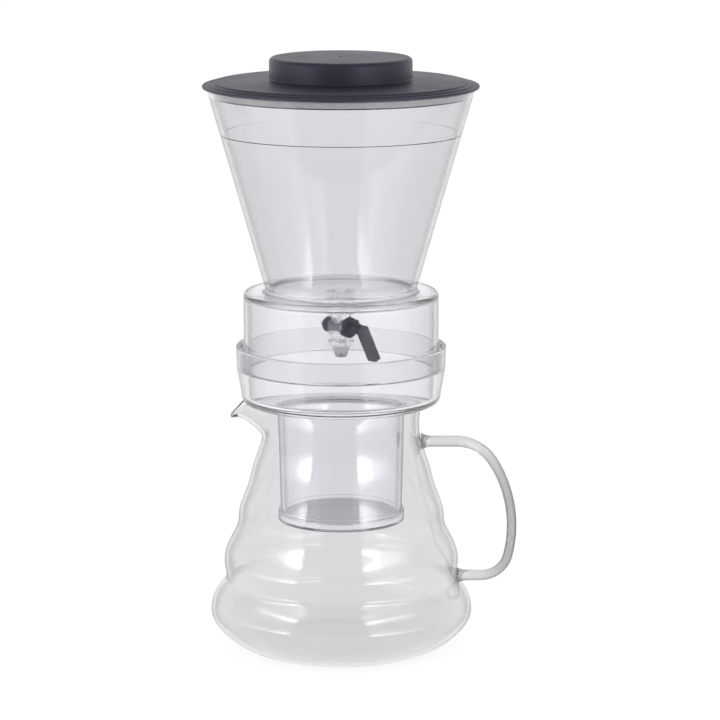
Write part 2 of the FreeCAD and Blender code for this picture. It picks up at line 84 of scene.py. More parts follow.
def select_everything():
    bpy.ops.mesh.select_all(action="SELECT")


def edit(mode="VERT"):
    bpy.ops.object.mode_set(mode="EDIT")
    bpy.ops.mesh.select_mode(type=mode)


def leave_edit():
    bpy.ops.object.mode_set(mode="OBJECT")


def pick(parts, test):
    """Selects the "verts" or "faces" of the mesh being edited that pass the test."""
    mesh = bpy.context.edit_object.data
    shape = bmesh.from_edit_mesh(mesh)
    bpy.ops.mesh.select_all(action="DESELECT")
    for part in getattr(shape, parts):
        part.select = test(part)
    shape.select_flush_mode()
    bmesh.update_edit_mesh(mesh)


def apply_modifier(kind, **settings):
    """Adds one modifier to the active object, sets it and applies it."""
    bpy.ops.object.modifier_add(type=kind)
    modifier = bpy.context.object.modifiers[-1]
    for name, value in settings.items():
        setattr(modifier, name, value)
    bpy.ops.object.modifier_apply(modifier=modifier.name)


def report(piece):
    """Says how large a finished piece is and whether its surface is closed."""
    shape = bmesh.new()
    shape.from_mesh(piece.data)
    gaps = sum(len(edge.link_faces) != 2 for edge in shape.edges)
    volume = shape.calc_volume(signed=True) / MM ** 3
    print(piece.name, "faces", len(shape.faces), "open edges", gaps, "volume mm3", round(volume))
    shape.free()


print("selecting helpers ready")

# %% [markdown]
# ## Turned shapes
#
# Nearly every piece here is round, so most of them start as half of a cross section. A
# single point is pushed along the outline with extrude, as a pen draws a line. The corners are
# rounded with a bevel on the points, and spin carries the outline once round the axis.
# Moulded plastic always has such rounded corners: they are what catches the light.
#
# A wall of this kind is one long face between two small roundings. Plain smooth shading would
# bend the light along the whole wall, so a weighted normal lets the large faces decide.

# %% Draw, round and spin
SIDES = 160
ARC_STEPS = 4
SHARP = math.radians(30)  # two faces that meet at a larger angle keep a real edge


def start_point(name, place):
    """A mesh of one point: the smallest circle there is, merged to its middle."""
    deselect_all()
    bpy.ops.mesh.primitive_circle_add(vertices=3, radius=MM)
    piece = named(name)
    edit()
    select_everything()
    bpy.ops.mesh.merge(type="CENTER")
    bpy.ops.transform.translate(value=place)
    return piece


def at(corner):
    """Where a corner of an outline lies. Its radius runs along X and its height along Z."""
    return Vector((corner[0], 0, corner[1])) * MM


def draw(name, corners, closed):
    """Outline of a piece, corner by corner. A corner is (radius, height) or has a rounding too."""
    piece = start_point(name, at(corners[0]))
    for last, corner in zip(corners, corners[1:]):
        extrude(at(corner) - at(last))
    if closed:
        ends = (at(corners[0]), at(corners[-1]))
        pick("verts", lambda point: min((point.co - end).length for end in ends) < SLIVER)
        bpy.ops.mesh.edge_face_add()
    count = len(corners)
    for i, corner in enumerate(corners):
        if len(corner) == 3:
            round_corner(at(corners[i - 1]), at(corner), at(corners[(i + 1) % count]), corner[2])
    return piece


def extrude(step):
    bpy.ops.mesh.extrude_region_move(TRANSFORM_OT_translate={"value": step})


def round_corner(before, corner, after, rounding):
    """Bevels one point of the outline into an arc of that radius."""
    turn = (corner - before).angle(after - corner)
    cut = rounding * MM * math.tan(turn / 2)
    pick("verts", lambda point: (point.co - corner).length < SLIVER)
    bpy.ops.mesh.bevel(offset=cut, segments=ARC_STEPS, affect="VERTICES", profile=0.5)


def spin(sides=SIDES):
    """Carries what is being edited once round the tower's axis and closes seam and poles."""
    select_everything()
    bpy.ops.mesh.spin(steps=sides, angle=2 * math.pi, use_auto_merge=True,
                      center=(0, 0, 0), axis=(0, 0, 1))
    select_everything()
    bpy.ops.mesh.remove_doubles(threshold=SLIVER)
    bpy.ops.mesh.normals_make_consistent(inside=False)


def shade():
    """Smooth over the roundings, flat on the faces, sharp at real edges."""
    bpy.ops.object.shade_smooth_by_angle(angle=SHARP)
    apply_modifier("WEIGHTED_NORMAL", keep_sharp=True)


def soften(width, angle, segments=2):
    """Rounds the edges where faces meet at more than that angle, in millimetres and degrees."""
    apply_modifier("BEVEL", width=width * MM, segments=segments, limit_method="ANGLE",
                   angle_limit=math.radians(angle))


def turned(name, corners, closed=True, sides=SIDES):
    """A finished round piece from its outline. One that isn't closed starts and ends on the axis."""
    piece = draw(name, corners, closed)
    spin(sides)
    leave_edit()
    shade()
    report(piece)
    return piece


print("outlines are turned in", SIDES, "steps")

# %% [markdown]
# ## The camera
#
# The tower is seen from a little above, from far away through a long lens, so that its round
# rims show as flat ovals and its sides hardly converge. The camera is turned a third of a
# degree to the right, which leaves the handle room. A ray that looks through the tower can meet
# a dozen clear surfaces and more. One that is given up on the way would show as black, so rays
# are followed through many walls.

# %% Camera
CAMERA_BACK = 1.673
CAMERA_HEIGHT = 0.4608
CAMERA_PITCH = math.radians(10.695)
CAMERA_YAW = math.radians(0.32)
CAMERA_LENS = 172.1
SENSOR = 36  # millimetres, like the lens
FAR_END = 50  # metres
WALLS_DEEP = 24
MIRRORS_DEEP = 16

deselect_all()
bpy.ops.object.camera_add(location=(0, -CAMERA_BACK, CAMERA_HEIGHT),
                          rotation=(math.pi / 2 - CAMERA_PITCH, 0, -CAMERA_YAW))
camera = bpy.context.object
camera.name = "camera"
camera.data.lens = CAMERA_LENS
camera.data.sensor_width = SENSOR
camera.data.clip_end = FAR_END
scene = bpy.context.scene
scene.camera = camera
scene.view_settings.view_transform = "Standard"
scene.cycles.max_bounces = WALLS_DEEP
scene.cycles.transmission_bounces = WALLS_DEEP
scene.cycles.glossy_bounces = MIRRORS_DEEP
print("camera", tuple(camera.location), "lens", camera.data.lens)

# %% [markdown]
# ## Nodes in one line each
#
# A material is a small network of nodes. These helpers each add one node, set its values and
# link its inputs, so that a finish reads as a recipe and not as bookkeeping.

# %% Helpers for node networks
WHITE = (1.0, 1.0, 1.0)


def add_node(tree, kind, inputs=None, **settings):
    """Adds a node. An input is a value, or a socket of another node, which is then linked."""
    node = tree.nodes.new(kind)
    for name, value in settings.items():
        setattr(node, name, value)
    for name, value in (inputs or {}).items():
        if isinstance(value, bpy.types.NodeSocket):
            tree.links.new(value, node.inputs[name])
        else:
            node.inputs[name].default_value = value
    return node


def calculate(tree, operation, *values):
    """One step of arithmetic on numbers and sockets."""
    return add_node(tree, "ShaderNodeMath", dict(enumerate(values)), operation=operation).outputs[0]


def smooth_share(tree, value, low, high, top=1.0):
    """0 where a value is at low and top where it is at high, with a soft start and end."""
    return add_node(tree, "ShaderNodeMapRange",
                    {"Value": value, "From Min": low, "From Max": high, "To Max": top},
                    interpolation_type="SMOOTHSTEP").outputs[0]


def stretch(tree, value, reach, new_reach):
    """Turns the levels between one pair of limits into levels between another."""
    return add_node(tree, "ShaderNodeMapRange",
                    {"Value": value, "From Min": reach[0], "From Max": reach[1],
                     "To Min": new_reach[0], "To Max": new_reach[1]}).outputs[0]


def part_along(tree, vector, axis):
    """The part of a place or direction that lies along one axis."""
    return add_node(tree, "ShaderNodeSeparateXYZ", {0: vector}).outputs[axis]


def mix_colour(tree, share, first, second):
    return add_node(tree, "ShaderNodeMix", {0: share, 6: first, 7: second},
                    data_type="RGBA").outputs[2]


def clouds(tree, place, scale, detail):
    """Soft noise laid on the piece's own coordinates."""
    return add_node(tree, "ShaderNodeTexNoise", {"Vector": place.outputs["Object"], "Scale": scale,
                                                 "Detail": detail}).outputs["Fac"]


def bumps(tree, height, depth, strength=1.0):
    """Small relief from a pattern, with its depth in millimetres."""
    return add_node(tree, "ShaderNodeBump", {"Height": height, "Strength": strength,
                                             "Distance": depth * MM}).outputs[0]


def grey(level, tint=WHITE):
    """A colour of that level, leaning to the tint."""
    return (level * tint[0], level * tint[1], level * tint[2], 1.0)


def new_material(name):
    material = bpy.data.materials.new(name)
    material.use_nodes = True
    tree = material.node_tree
    tree.nodes.clear()
    return material, tree


def coat(tree, shader):
    """Makes a shader the surface of the material."""
    add_node(tree, "ShaderNodeOutputMaterial", {"Surface": shader.outputs[0]})


print("node helpers ready")

# %% [markdown]
# ## The floor
#
# Clear plastic has no colour of its own to speak of. It shows what stands round it, so the
# room is most of the finish. A white floor runs far out under the tower. Most of its white is
# given to camera, mirror and glass rays as light, which keeps the background white and still
# leaves the tower a soft shadow. Mirror rays that run back past the camera find a dimmer floor,
# as they would between the two cloths that stand there.

# %% Floor
FLOOR_SIZE = 40.0
FLOOR_GAP = 0.0001
FLOOR_WHITE = 0.9
FLOOR_GLOW = 0.82
FLOOR_STRENGTH = 1.09
ROOM_DIM = 0.3
ROOM_START = -0.4
ROOM_FULL = -0.8


def floor_paper():
    material, tree = new_material("floor_paper")
    path = add_node(tree, "ShaderNodeLightPath").outputs
    mirrored = path["Is Glossy Ray"]
    seen = calculate(tree, "MAXIMUM", path["Is Camera Ray"], mirrored)
    seen = calculate(tree, "MAXIMUM", seen, path["Is Transmission Ray"])
    place = add_node(tree, "ShaderNodeTexCoord").outputs["Object"]
    room = smooth_share(tree, part_along(tree, place, "Y"), ROOM_START, ROOM_FULL, ROOM_DIM)
    level = calculate(tree, "SUBTRACT", 1.0, calculate(tree, "MULTIPLY", room, mirrored))
    level = calculate(tree, "MULTIPLY", level, FLOOR_STRENGTH)
    paper = add_node(tree, "ShaderNodeBsdfDiffuse", {"Color": grey(FLOOR_WHITE)}).outputs[0]
    light = add_node(tree, "ShaderNodeEmission", {"Color": grey(1.0), "Strength": level}).outputs[0]
    share = calculate(tree, "MULTIPLY", seen, FLOOR_GLOW)
    coat(tree, add_node(tree, "ShaderNodeMixShader", {0: share, 1: paper, 2: light}))
    return material


deselect_all()
bpy.ops.mesh.primitive_plane_add(size=FLOOR_SIZE, location=(0, 0, -FLOOR_GAP))
floor = bpy.context.object
floor.name = "floor"
floor.data.materials.append(floor_paper())
print("floor", FLOOR_SIZE, "m")

# %% [markdown]
# ## The air
#
# The air lights the tower evenly from all sides, and it is also what the eye sees bent through
# every rim and rounding. It is pale near the horizon and greyer overhead: light that is bent
# down from there draws the grey lines along the rims. Behind the camera it is dimmer for mirror
# rays, which is the gap between the cloths.

# %% Air
AIR_STEPS = ((0.0, 1.0), (0.25, 0.92), (0.5, 0.68), (1.0, 0.66))
LAVENDER = (0.985, 0.98, 1.0)
ROOM_LEVEL = 0.7
ROOM_EDGE = (-0.7, -0.95)


def stepped(tree, value, steps, tint=WHITE):
    """A level that runs smoothly from step to step. A step is (value, level)."""
    ramp = add_node(tree, "ShaderNodeValToRGB", {0: value})
    ramp.color_ramp.interpolation = "EASE"
    for i, (position, level) in enumerate(steps):
        stop = ramp.color_ramp.elements[i] if i < 2 else ramp.color_ramp.elements.new(position)
        stop.position = position
        stop.color = grey(level, tint)
    return ramp.outputs[0]


world = bpy.data.worlds.new("studio_air")
scene.world = world
world.use_nodes = True
air = world.node_tree
air.nodes.clear()
direction = add_node(air, "ShaderNodeTexCoord").outputs["Generated"]
sky = stepped(air, part_along(air, direction, "Z"), AIR_STEPS, LAVENDER)
path = add_node(air, "ShaderNodeLightPath").outputs
gap = smooth_share(air, part_along(air, direction, "Y"), *ROOM_EDGE)
gap = calculate(air, "MULTIPLY", gap, path["Is Glossy Ray"])
seen = mix_colour(air, gap, sky, grey(ROOM_LEVEL, LAVENDER))
light = add_node(air, "ShaderNodeBackground", {"Color": seen, "Strength": 1.0})
add_node(air, "ShaderNodeOutputWorld", {"Surface": light.outputs[0]})
print("air set")

# %% [markdown]
# ## Two cloths
#
# Clear vessels are often lit by a tent of white cloth with a gap for the camera. The two
# cloths are lamps here. They stand close, so the tank, which sees them in its far wall, and the
# jug, which sees them in its near wall, show them at different places. Each is brightest near
# its inner edge, so its image ends sharply on one side and fades out on the other. Each also
# glows more at some heights, because each vessel sees a different height of it.

# %% Softboxes
BOX_HEIGHT = 0.48
BOX_DISTANCE = 0.25
BOX_LIGHT = 8.5
BOX_ACROSS = ((0.0, 0.0), (0.03, 0.6), (0.12, 1.0), (0.28, 0.8), (0.42, 0.45), (0.65, 0.32), (0.85, 0.12),
              (1.0, 0.0))
BOX_UP = ((0.0, 0.6), (0.04, 0.5), (0.08, 0.15), (0.12, 0.1), (0.2, 0.08), (0.3, 0.13), (0.35, 0.4),
          (0.39, 1.0), (0.445, 1.0), (0.48, 0.35), (0.53, 0.22), (0.58, 0.2), (0.64, 0.25), (0.7, 0.32),
          (0.76, 0.2), (0.88, 0.0))
BOXES = (
    # name, degrees round from the camera, width, whether its own X starts at its inner edge
    ("softbox_left", -67, 0.27, False),
    ("softbox_right", 49.5, 0.28, True),
)


def softbox(name, turn, width, inner_first):
    """A cloth that stands on the floor, faces the tower and glows most near its inner edge."""
    away = Vector((math.sin(math.radians(turn)), -math.cos(math.radians(turn)), 0))
    middle = away * BOX_DISTANCE + Vector((0, 0, BOX_HEIGHT / 2))
    deselect_all()
    bpy.ops.object.light_add(type="AREA", location=middle)
    lamp = bpy.context.object
    lamp.name = name
    lamp.rotation_euler = away.to_track_quat("Z", "Y").to_euler()
    lamp.visible_camera = False
    lamp.data.shape = "RECTANGLE"
    lamp.data.size = width
    lamp.data.size_y = BOX_HEIGHT
    lamp.data.energy = math.pi * width * BOX_HEIGHT
    lamp.data.use_nodes = True
    tree = lamp.data.node_tree
    tree.nodes.clear()
    place = add_node(tree, "ShaderNodeNewGeometry").outputs["Parametric"]
    across = part_along(tree, place, "X")
    if not inner_first:
        across = calculate(tree, "SUBTRACT", 1.0, across)
    level = calculate(tree, "MULTIPLY", stepped(tree, across, BOX_ACROSS),
                      stepped(tree, part_along(tree, place, "Y"), BOX_UP))
    level = calculate(tree, "MULTIPLY", level, BOX_LIGHT)
    cloth = add_node(tree, "ShaderNodeEmission", {"Color": grey(1.0), "Strength": level})
    add_node(tree, "ShaderNodeOutputLight", {"Surface": cloth.outputs[0]})
    print(name, "at", tuple(round(part, 2) for part in lamp.location))


for box in BOXES:
    softbox(*box)

# %% [markdown]
# ## Clear plastic and glass
#
# Light crosses four surfaces on its way through a vessel, and each takes a little of it, so the
# tint of one surface is pale. Where a wall turns away from the eye, light runs a longer way
# inside it and comes out greyer, and the edge tint goes well past that: painted shade that draws
# the dark outline of each wall. Layer Weight gives that: it moves the tint from a face value to
# an edge value. At the very edge a share of grey diffuse is mixed in as well, painted shade that
# darkens the outline further.
# The tank is moulded in styrene and leans to lavender. The jug is blown, so its surface swims a
# little: broad, very shallow bumps. Faint handling marks change how sharp the shine is. All
# patterns are laid on the piece's own coordinates, so they stay put when the piece moves.

# %% Clear materials
STYRENE = 1.57
BOROSILICATE = 1.473
SILICONE = 1.41
EDGE_SHADE_LEVEL = 0.4
EDGE_SHADE_SHARE = 0.75
EDGE_SHADE_TURN = (0.6, 0.95)
SHADE_BAND_LEVEL = 0.75
MARKS_SCALE = 160.0
MARKS_REACH = (0.35, 0.75)
COOL = (0.99, 0.99, 1.0)


def place_share(tree, place, low, high, axis="Z"):
    """0 below one place along an axis of the piece and 1 above the other, in millimetres."""
    return smooth_share(tree, part_along(tree, place.outputs["Object"], axis), low * MM, high * MM)


def away_share(tree, place, low, high, amount=1.0):
    """How far a wall turns away from the eye. A level face counts as turned to it."""
    facing = add_node(tree, "ShaderNodeLayerWeight", {"Blend": 0.5}).outputs["Facing"]
    turned_away = smooth_share(tree, facing, low, high, amount)
    level = calculate(tree, "ABSOLUTE", part_along(tree, place.outputs["Normal"], "Z"))
    return calculate(tree, "MULTIPLY", turned_away, calculate(tree, "SUBTRACT", 1.0, level))


def band_share(tree, place, low, high, fade):
    """1 between two heights of the piece and 0 past their fades, in millimetres."""
    above = place_share(tree, place, low - fade, low)
    past = place_share(tree, place, high, high + fade)
    return calculate(tree, "SUBTRACT", above, past)


def clear(name, face, edge, bend, swim, depth, shine, mirror, bands=(), turn=(0.15, 0.75),
          shade_band=None, along="Z"):
    """A clear wall. Face and edge are its tints seen straight on and where it turns away, and
    turn says between which facings the one becomes the other. Bend is its refractive index,
    swim and depth the scale of its surface waves and their depth in millimetres, shine the
    limits of its roughness, and mirror how much it mirrors straight on. A band (low, high,
    face, edge) brings in other tints along the piece. A painted shade band (low, high, fade,
    share) mixes a share of grey diffuse into the wall between two heights."""
    material, tree = new_material(name)
    place = add_node(tree, "ShaderNodeTexCoord")
    rough = stretch(tree, clouds(tree, place, MARKS_SCALE, 4.0), MARKS_REACH, shine)
    relief = bumps(tree, clouds(tree, place, swim, 1.0), depth)
    for low, high, face_above, edge_above in bands:
        share = place_share(tree, place, low, high, along)
        face = mix_colour(tree, share, face, face_above)
        edge = mix_colour(tree, share, edge, edge_above)
    # The edge tint is partly the longer way through the wall and partly painted shade at the outline.
    tint = mix_colour(tree, away_share(tree, place, *turn), face, edge)
    # Painted shade: a share of grey diffuse at the very edge darkens the outline.
    shade_share = away_share(tree, place, *EDGE_SHADE_TURN, EDGE_SHADE_SHARE)
    shade_colour = grey(EDGE_SHADE_LEVEL, LAVENDER)
    # Painted shade: a share of grey diffuse mixed into the wall between two heights.
    if shade_band:
        low, high, fade, level = shade_band
        share = band_share(tree, place, low, high, fade)
        shade_share = calculate(tree, "MULTIPLY_ADD", share, level, shade_share)
        shade_colour = mix_colour(tree, share, shade_colour, grey(SHADE_BAND_LEVEL, LAVENDER))
    body = add_node(tree, "ShaderNodeBsdfPrincipled",
                    {"Base Color": tint, "Roughness": rough, "IOR": bend,
                     "Specular Tint": grey(mirror), "Transmission Weight": 1.0,
                     "Normal": relief}).outputs[0]
    shade_film = add_node(tree, "ShaderNodeBsdfDiffuse", {"Color": shade_colour}).outputs[0]
    coat(tree, add_node(tree, "ShaderNodeMixShader", {0: shade_share, 1: body, 2: shade_film}))
    return material


print("clear recipe ready")

# %% [markdown]
# ## The tints of the vessels
#
# Each stretch of plastic has its own pair of tints, which set how light or dark it renders: partly
# its wall's thickness and how many walls lie behind each other, partly painted light and shade.
# The tank's floor plate and the top of its cone are tinted lighter than the rest of the cone,
# though the plate is the thickest part, and the cup is tinted darker than the basket under it.
# Materials could be given face by face, but that would draw a line between them. The parts of a
# moulding lie above one another, so bands by height are enough, and each runs softly into the next.

# %% Clear finishes
def tints(face, edge, lean=WHITE):
    """The two tints of a clear wall, seen straight on and where it turns away."""
    return grey(face, lean), grey(edge, lean)


CONE_TINTS = tints(0.835, 0.68, LAVENDER)
# Painted light: the top of the cone is tinted lighter than the cone below it.
CONE_TOP_TINTS = tints(0.86, 0.7, LAVENDER)
# Painted light: the floor plate is tinted far lighter than the cone, though it is thicker.
PLATE_TINTS = tints(0.99, 0.8, LAVENDER)
SKIRT_TINTS = tints(0.92, 0.7, LAVENDER)
BASKET_TINTS = tints(0.995, 0.96, LAVENDER)
# Partly thickness and partly painted shade: the cup is tinted darker than the basket, most of all where
# it turns away.
CUP_TINTS = tints(0.91, 0.62, LAVENDER)
TANK_PLASTIC = clear("tank_plastic", *SKIRT_TINTS, STYRENE,
                     swim=30.0, depth=0.03, shine=(0.02, 0.08), mirror=0.45,
                     bands=((174.0, 177.0, *PLATE_TINTS), (181.0, 184.0, *CONE_TINTS),
                            (235.0, 262.0, *CONE_TOP_TINTS)),
                     # painted shade at the tank's rim, where the lid's plug sits inside
                     shade_band=(277.0, 281.0, 0.3, 0.25))
CUP_PLASTIC = clear("cup_plastic", *BASKET_TINTS, STYRENE,
                    swim=30.0, depth=0.03, shine=(0.03, 0.1), mirror=0.25,
                    bands=((124.0, 127.5, *CUP_TINTS),), turn=(0.3, 0.9))
JUG_GLASS = clear("jug_glass", *tints(0.845, 0.5, COOL), BOROSILICATE,
                  swim=22.0, depth=0.12, shine=(0.0, 0.06), mirror=0.9, turn=(0.55, 0.97))
# Painted shade: the rod is the jug's glass but tinted far darker, darkest where it turns away and,
# through the band along X, over its outer bend.
ROD_GLASS = clear("rod_glass", *tints(0.7, 0.22, COOL), BOROSILICATE,
                  swim=110.0, depth=0.6, shine=(0.0, 0.06), mirror=0.6, turn=(0.05, 0.5), along="X",
                  bands=((66.0, 86.0, *tints(0.44, 0.06, COOL)),))
TAP_PLASTIC = clear("tap_plastic", *tints(0.97, 0.75), STYRENE,
                    swim=80.0, depth=0.03, shine=(0.02, 0.08), mirror=0.5)
TIP_PLASTIC = clear("tip_plastic", *tints(0.5, 0.3), STYRENE,
                    swim=80.0, depth=0.03, shine=(0.04, 0.12), mirror=0.6,
                    bands=((151.8, 152.5, *tints(0.95, 0.9)),))
WASHER_SILICONE = clear("washer_silicone", *tints(0.8, 0.6), SILICONE,
                        swim=200.0, depth=0.02, shine=(0.25, 0.4), mirror=0.6)
print("clear materials ready")

# %% [markdown]
# ## Dark plastic
#
# The lid is moulded in a charcoal plastic that leans to violet. Its tool was spark eroded, so
# the surface is a fine even grain that spreads the shine into a satin sheen. Handling polishes
# it in patches. The tap's lever has the same finish, darker and with a finer grain.

# %% Satin plastic
SHINE_TINT = (0.8, 0.76, 1.0, 1.0)
SATIN_BEND = 1.5
PATCH_SCALE = 35.0
PATCH_REACH = (0.3, 0.7)


def satin(name, dark, light, grain_scale, grain_depth, shine, gloss):
    """A moulded satin plastic, from its darker to its lighter shade. Shine is the limits of its
    roughness, and the grain's depth is in millimetres."""
    material, tree = new_material(name)
    place = add_node(tree, "ShaderNodeTexCoord")
    patches = clouds(tree, place, PATCH_SCALE, 5.0)
    grain = clouds(tree, place, grain_scale, 3.0)
    coat(tree, add_node(tree, "ShaderNodeBsdfPrincipled",
                        {"Base Color": mix_colour(tree, patches, dark, light),
                         "Roughness": stretch(tree, patches, PATCH_REACH, shine),
                         "IOR": SATIN_BEND, "Specular IOR Level": gloss,
                         "Specular Tint": SHINE_TINT, "Normal": bumps(tree, grain, grain_depth)}))
    return material


LID_PLASTIC = satin("lid_plastic", (0.011, 0.0085, 0.018, 1), (0.016, 0.0125, 0.025, 1),
                    grain_scale=2600.0, grain_depth=0.012, shine=(0.38, 0.46), gloss=0.55)
LEVER_PLASTIC = satin("lever_plastic", (0.03, 0.026, 0.046, 1), (0.042, 0.037, 0.062, 1),
                      grain_scale=3200.0, grain_depth=0.01, shine=(0.34, 0.44), gloss=0.35)
PLUG_PLASTIC = satin("plug_plastic", (0.26, 0.29, 0.42, 1), (0.32, 0.35, 0.48, 1),
                     grain_scale=2200.0, grain_depth=0.008, shine=(0.28, 0.38), gloss=0.4)
print("satin materials ready")

# %% [markdown]
# ## Woven mesh
#
# The filter is a fine polyester cloth, two threads to the millimetre. Threads that run along X
# and threads that run along Y are two waves. Where the higher of the two is low there is no
# thread, and the cloth is open. Where both are high two threads cross, and it is lighter. Such a
# pattern stays sharp from close by, which a picture of cloth would not.

# %% Filter cloth
THREADS_PER_MM = 2.0
WAVE_LENGTH = math.pi / 10  # how far apart the crests of a wave texture lie at scale 1
WAVE_SCALE = THREADS_PER_MM / MM * WAVE_LENGTH
THREAD_EDGE = (0.81, 0.87)
THREAD_ROUND = 0.05


def woven(name, thread, crossing):
    """Threads are solid and the gaps between them are open."""
    material, tree = new_material(name)
    place = add_node(tree, "ShaderNodeTexCoord").outputs["Object"]
    ways = [add_node(tree, "ShaderNodeTexWave", {"Vector": place, "Scale": WAVE_SCALE},
                     bands_direction=axis).outputs["Fac"] for axis in ("X", "Y")]
    over = calculate(tree, "MAXIMUM", *ways)
    both = calculate(tree, "MULTIPLY", *ways)
    coat(tree, add_node(tree, "ShaderNodeBsdfPrincipled",
                        {"Base Color": mix_colour(tree, both, thread, crossing),
                         "Roughness": 0.55, "IOR": 1.5, "Transmission Weight": 0.3,
                         "Alpha": stretch(tree, over, THREAD_EDGE, (0.0, 1.0)),
                         "Normal": bumps(tree, over, THREAD_ROUND, 0.6)}))
    return material


FILTER_CLOTH = woven("filter_cloth", (0.86, 0.79, 0.83, 1), (0.94, 0.87, 0.91, 1))
print("filter cloth ready")

# %% [markdown]
# ## Handing a piece over
#
# A finished piece takes its material, stands in for the frame's plain node and rides on the body
# that carries it.

# %% Finish a piece


def hand_over(piece, node, body, material):
    piece.data.materials.clear()
    piece.data.materials.append(material)
    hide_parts(node)
    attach(piece, body)
    print(piece.name, "stands in for", node, "and rides on", body)


# %% [markdown]
# ## The water tank
#
# The tank is one moulding: a cone that opens upwards, a floor, a flat collar round the
# foot of the cone and a skirt that hangs from it and stands in the dripper's cup. A shallow
# groove inside the cone marks how far to fill. The boss under the floor is bored for the tap's
# stem. Joined cones and discs would each show a line in a clear piece. One outline has none.

# %% Water tank
TANK_WALL = 2.0
CONE_FOOT_R = 36.9
COLLAR_R = 48.1
COLLAR_DROP = 100.4
COLLAR_PLATE = 2.5
FLOOR_RAISE = 0.9
FILL_LINE_DROP = 22.0
FILL_LINE_R = 0.3
FILL_LINE_DEPTH = 0.2
BOSS_R = 6.6
BOSS_END_DROP = 107.7
STEM_HOLE_R = 4.25
STEM_HOLE_TOP = 1.9
WATER_HOLE_R = 2.2
AIR_GAP = 0.06  # keeps two pieces that rest on each other from sharing a face

tank_low, tank_high = millimetres("water_tank")
tank_rim_z = tank_high.z
collar_z = tank_rim_z - COLLAR_DROP
cone_slope = (tank_high.x - CONE_FOOT_R) / COLLAR_DROP
wall_across = TANK_WALL * math.hypot(1, cone_slope)


def cone_inner_r(height):
    return CONE_FOOT_R + cone_slope * (height - collar_z) - wall_across


floor_z = collar_z + FLOOR_RAISE
stem_top_z = floor_z - STEM_HOLE_TOP
boss_z = tank_rim_z - BOSS_END_DROP
line_z = tank_rim_z - FILL_LINE_DROP
skirt_z = tank_low.z + AIR_GAP
plate_z = collar_z - COLLAR_PLATE
tank = turned("water_tank_clear", [
    (tank_high.x, tank_rim_z, 0.5),
    (cone_inner_r(tank_rim_z), tank_rim_z, 0.5),
    (cone_inner_r(line_z + FILL_LINE_R), line_z + FILL_LINE_R),
    (cone_inner_r(line_z) + FILL_LINE_DEPTH, line_z),
    (cone_inner_r(line_z - FILL_LINE_R), line_z - FILL_LINE_R),
    (cone_inner_r(floor_z), floor_z, 3.0),
    (WATER_HOLE_R, floor_z),
    (WATER_HOLE_R, stem_top_z),
    (STEM_HOLE_R, stem_top_z),
    (STEM_HOLE_R, boss_z),
    (BOSS_R, boss_z, 0.5),
    (BOSS_R, plate_z, 1.0),
    (COLLAR_R - TANK_WALL, plate_z, 1.5),
    (COLLAR_R - TANK_WALL, skirt_z, 0.5),
    (COLLAR_R, skirt_z, 0.5),
    (COLLAR_R, collar_z, 2.0),
    (CONE_FOOT_R, collar_z, 1.6),
])
hand_over(tank, "water_tank", "tank", TANK_PLASTIC)

# %% [markdown]
# ## The dripper
#
# The dripper is a cup with a basket hanging from its floor. Inside the cup a ledge carries the
# tank's skirt, and below the ledge the wall is thick. The cup's underside rests on the jug's
# rim and the basket reaches down into the jug. Its outline is turned like the tank's. The large
# rounding at the cup's foot matters most, since that is where the room is seen bent.

# %% Dripper
CUP_RIM_R = 51.9
CUP_WALL = 2.2
LEDGE_R = 45.4
LEDGE_DROP = 11.2
CUP_FOOT_R = 48.6
CUP_FLOOR = 3.0
BASKET_MOUTH_R = 31.3
BASKET_END_R = 30.1
BASKET_WALL = 2.0
CUP_DRAFT = 0.6  # a moulding narrows a little towards its floor, so that it leaves the tool
CUP_BELLY = 0.4
JUG_RIM_Z = 124.0

drip_low, drip_high = millimetres("dripper")
under_z = JUG_RIM_Z + AIR_GAP
cup_floor_z = JUG_RIM_Z + CUP_FLOOR
ledge_z = drip_high.z - LEDGE_DROP
basket_z = drip_low.z + AIR_GAP
dripper = turned("dripper_clear", [
    (CUP_RIM_R, drip_high.z, 0.7),
    (CUP_RIM_R - CUP_WALL, drip_high.z, 0.7),
    (CUP_RIM_R - CUP_WALL, ledge_z, 0.3),
    (LEDGE_R, ledge_z, 0.5),
    (LEDGE_R - CUP_DRAFT, cup_floor_z, 2.5),
    (BASKET_MOUTH_R - BASKET_WALL, cup_floor_z, 1.5),
    (BASKET_END_R - BASKET_WALL, basket_z),
    (BASKET_END_R, basket_z),
    (BASKET_MOUTH_R, under_z, 1.2),
    (CUP_FOOT_R, under_z, 3.4),
    (CUP_RIM_R - CUP_BELLY, ledge_z, 6.0),
])
hand_over(dripper, "dripper", "dripper", CUP_PLASTIC)

# %% [markdown]
# ## The filter
#
# A disc of woven mesh closes the basket's end, and a clear ring pushed over the end
# holds it. The ring's lip reaches in under the mesh, and its lower mouth is bevelled. The mesh
# is a plain thin disc with its threads in the material: modelled threads would be slow.

# %% Filter mesh and its ring
RING_WALL = 1.1
RING_LIP = 1.9
RING_BEVEL = 1.0
MESH_HANG = 0.04
MESH_RISE = 0.08
MESH_PLAY = 0.1

ring_low, ring_high = millimetres("filter_ring")
mesh_low, mesh_high = millimetres("filter_mesh")
mesh_r = BASKET_END_R - MESH_PLAY
filter_mesh = turned("filter_mesh_cloth", [
    (0, mesh_high.z - MESH_HANG),
    (mesh_r, mesh_high.z - MESH_HANG),
    (mesh_r, mesh_low.z + MESH_RISE),
    (0, mesh_low.z + MESH_RISE),
], closed=False)
hand_over(filter_mesh, "filter_mesh", "dripper", FILTER_CLOTH)

